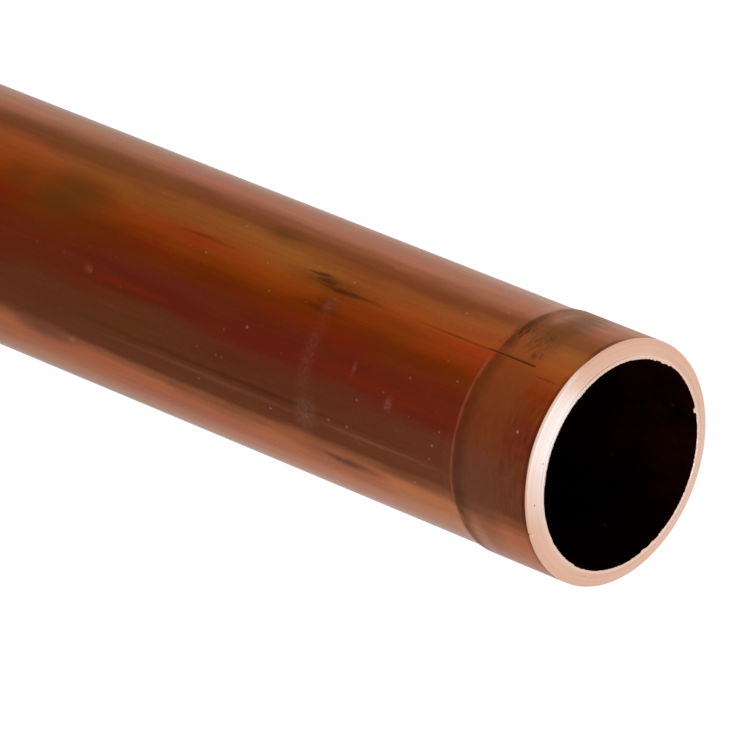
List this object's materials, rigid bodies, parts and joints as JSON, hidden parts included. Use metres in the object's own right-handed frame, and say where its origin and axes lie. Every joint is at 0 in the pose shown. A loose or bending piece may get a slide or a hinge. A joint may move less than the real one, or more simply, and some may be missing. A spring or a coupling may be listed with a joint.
{
  "type": "copper pipe length",
  "caption": "Straight round copper pipe with an open bore, a sized and wheel-cut upper end and a plain deburred foot, for joining with fittings or holding in clips.",
  "frame": {"origin": "centre of the plain end, on the floor that the pipe stands on", "axes": "+Z along the pipe, up towards its sized and wheel-cut end; the pipe is round, so X and Y are free"},
  "size_m": [0.0152, 0.0152, 0.3],
  "materials": {
    "copper": "drawn copper, tarnished to streaked browns, bright where the wheel cutter cut it"
  },
  "bodies": {
    "root": {"copper_pipe": "copper"}
  },
  "joints": []
}
